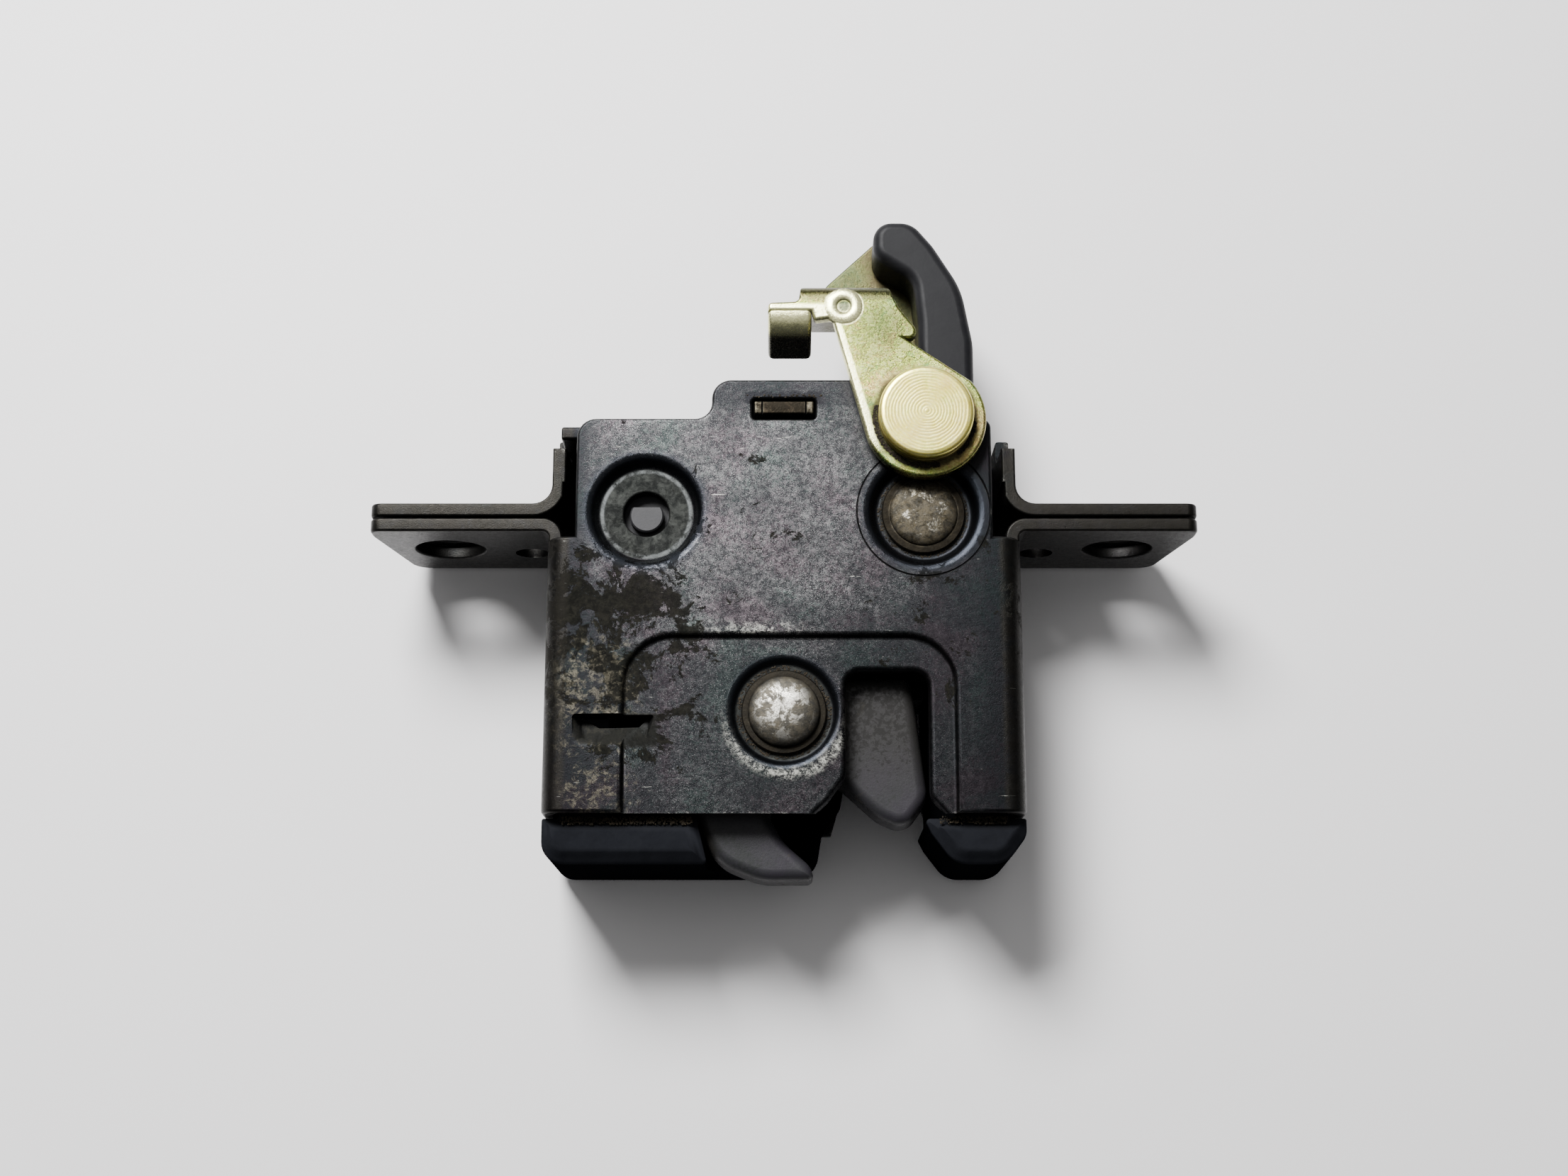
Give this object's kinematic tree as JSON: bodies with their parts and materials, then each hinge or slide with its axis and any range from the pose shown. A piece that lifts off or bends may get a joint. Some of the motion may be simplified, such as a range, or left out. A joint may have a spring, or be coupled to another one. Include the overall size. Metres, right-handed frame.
{
  "type": "boot lock",
  "caption": "Rotary tailgate latch: folded steel case with side bolt flanges, a striker slot with a pivoting fork, and a release lever with a curved plastic horn.",
  "frame": {"origin": "on the flat rear face of the back plate, on the plane where the two flange sheets meet, midway between the flanges", "axes": "+X along the two bolt flanges, +Y away from the striker mouth, +Z out of the front face; the lock lies on its back"},
  "size_m": [0.1076, 0.0886, 0.0297],
  "materials": {
    "case_steel": "black zinc plated pressed steel, worn and iridescent",
    "guide_plastic": "black satin moulding",
    "buffer_rubber": "matt black rubber",
    "spacer_plastic": "pale grey moulding",
    "rivet_steel": "bare riveted steel, stained",
    "fork_coat": "steel under a grey satin plastic coat",
    "pawl_steel": "bare hardened steel",
    "washer_steel": "bare steel",
    "spring_steel": "dark spring wire",
    "spool_plastic": "natural moulding",
    "lever_zinc": "yellow zinc plated steel",
    "horn_plastic": "black satin moulding"
  },
  "bodies": {
    "case": {"front_case": "case_steel", "back_case": "case_steel", "striker_guide": "guide_plastic", "striker_buffer": "buffer_rubber", "spacer_peg": "spacer_plastic", "fork_pin": "rivet_steel", "pawl_pin": "rivet_steel", "fork_bush": "spool_plastic", "pawl_bush": "spool_plastic", "lever_bush": "spool_plastic", "fork_washer": "washer_steel", "pawl_washer": "washer_steel", "fork_spring": "spring_steel", "pawl_spring": "spring_steel", "lever_spring": "spring_steel"},
    "fork": {"fork": "fork_coat"},
    "pawl": {"pawl": "pawl_steel"},
    "lever": {"release_lever": "lever_zinc", "rear_lever": "lever_zinc", "horn": "horn_plastic", "lever_pin": "lever_zinc", "pin_ring": "spring_steel", "lever_washer": "washer_steel"}
  },
  "joints": [
    {"name": "fork_turn", "type": "hinge", "parent": "case", "child": "fork", "pos_m": [0, -0.0258, 0.01625], "axis": [0, 0, 1], "range_deg": [0, 60], "stiffness_Nm_per_rad": 0.03, "springref_deg": -45.84, "deforming": ["fork_spring"]},
    {"name": "lever_turn", "type": "hinge", "parent": "case", "child": "lever", "pos_m": [0.0182, 0.012, 0.0125], "axis": [0, 0, 1], "range_deg": [0, 11], "stiffness_Nm_per_rad": 0.06, "springref_deg": -28.65, "deforming": ["lever_spring"]},
    {"name": "pawl_turn", "type": "hinge", "parent": "case", "child": "pawl", "pos_m": [0.018, 0.0003, 0.0165], "axis": [0, 0, 1], "range_deg": [-7.7, 0], "stiffness_Nm_per_rad": 0.02, "springref_deg": 28.65, "deforming": ["pawl_spring"]}
  ],
  "couplings": [
    {"joint": "pawl_turn", "follows": "lever_turn", "ratio": -0.7}
  ]
}
